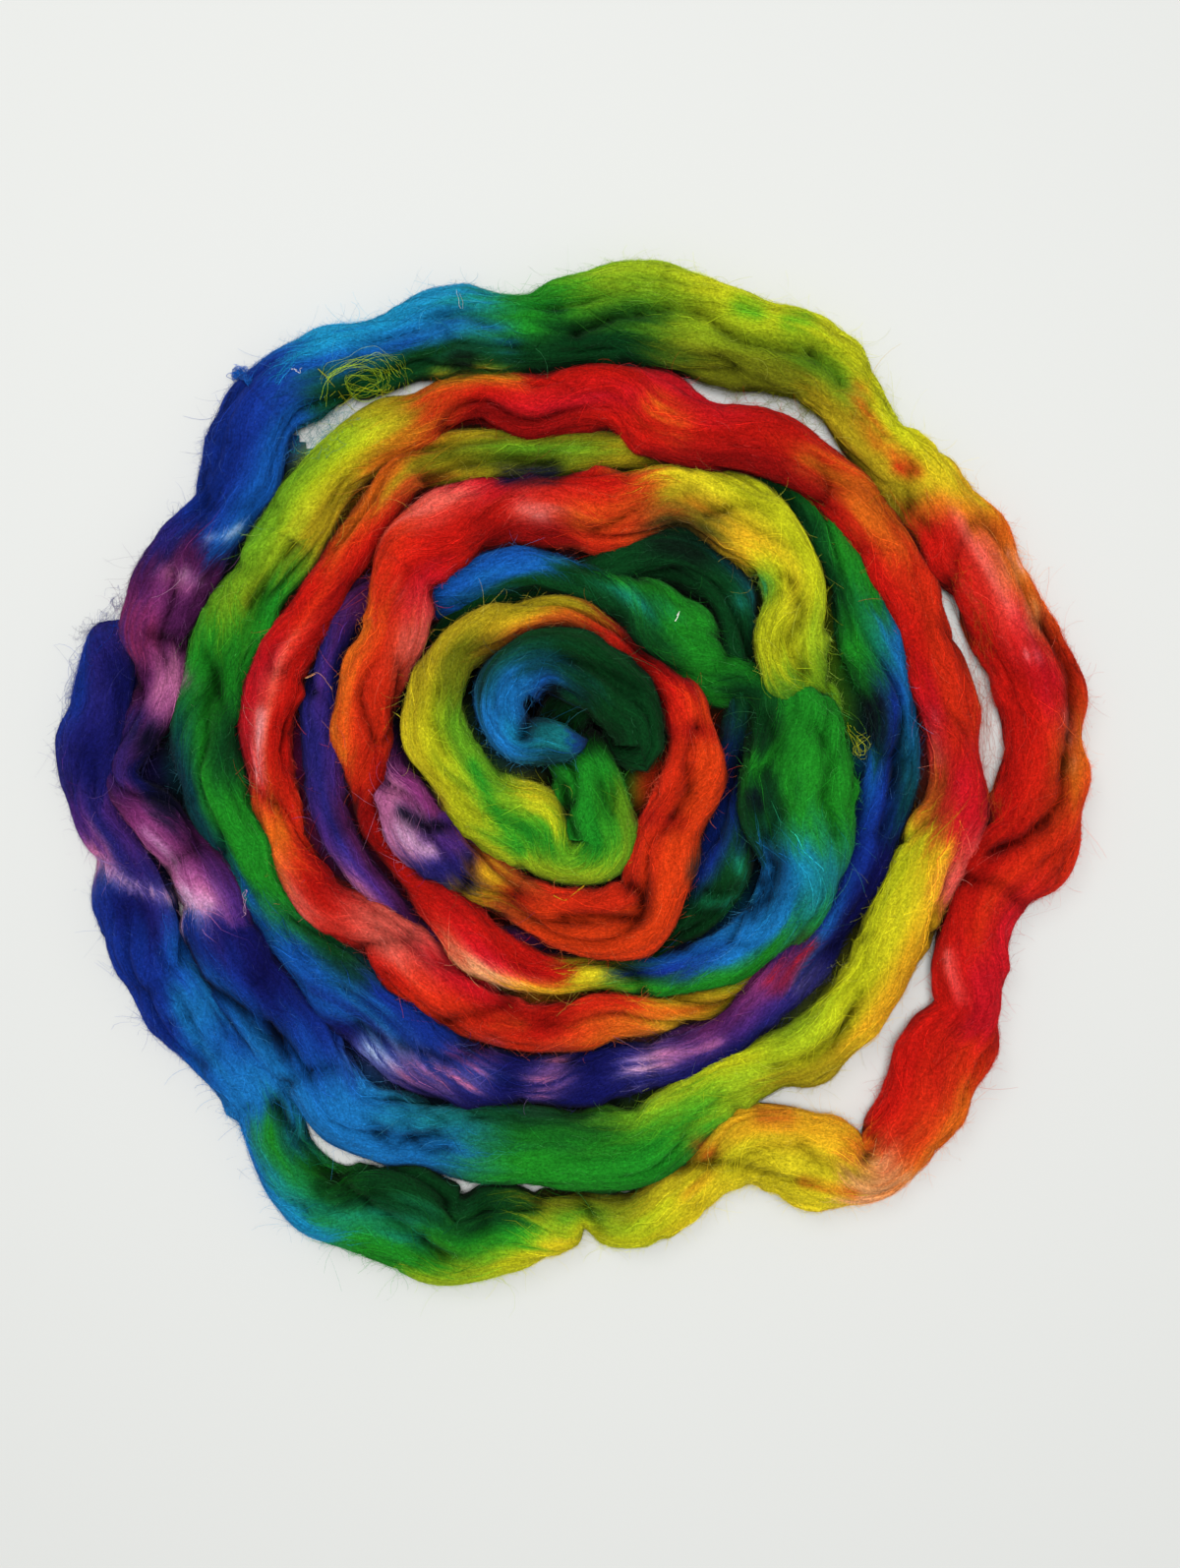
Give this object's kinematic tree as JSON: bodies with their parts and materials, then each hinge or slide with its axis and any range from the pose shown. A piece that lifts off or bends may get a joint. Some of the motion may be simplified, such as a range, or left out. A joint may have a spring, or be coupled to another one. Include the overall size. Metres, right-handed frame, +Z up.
{
  "type": "wool roving",
  "caption": "Length of soft combed wool fibre, dyed in rainbow colours and laid in a loose flat spiral with a curled-up middle.",
  "frame": {"origin": "centre of the spiral's outline at the surface that it lies on", "axes": "+Z up out of the surface; +X right and +Y away as the spiral is seen from above, with the blunt outer end on the -X side"},
  "size_m": [0.4763, 0.4716, 0.0393],
  "materials": {
    "dyed_wool": "soft matte loose wool fibres, dyed along the length in red, orange, yellow, green, teal, blue and purple with pale undyed patches"
  },
  "bodies": {
    "root": {"roving": "dyed_wool"}
  },
  "joints": []
}
